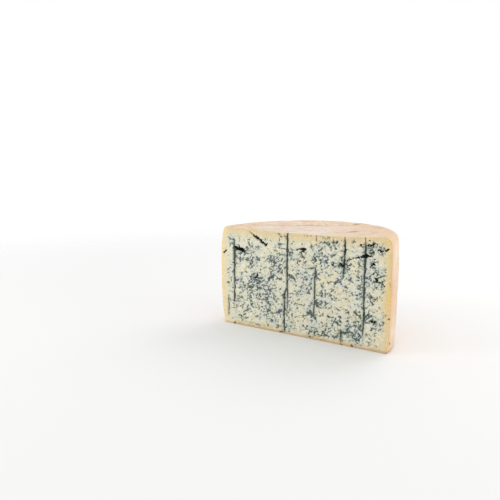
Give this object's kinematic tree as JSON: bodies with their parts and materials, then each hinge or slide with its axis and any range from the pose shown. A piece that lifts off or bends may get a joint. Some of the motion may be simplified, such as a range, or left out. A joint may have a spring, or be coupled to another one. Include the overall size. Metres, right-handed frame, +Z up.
{
  "type": "gorgonzola half wheel",
  "caption": "Half of a tall wheel of blue-veined cheese, cut straight through its middle, standing on its base with the veined face upright.",
  "frame": {"origin": "middle of the base, halfway along and halfway across the half wheel", "axes": "+Z up, +X along the cut face to its right end, -Y out of the cut face"},
  "size_m": [0.289, 0.145, 0.1655],
  "materials": {
    "cheese": "moist cream paste with blue-grey mould veins, inside a dry pinkish beige rind"
  },
  "bodies": {
    "root": {"half_wheel": "cheese"}
  },
  "joints": []
}
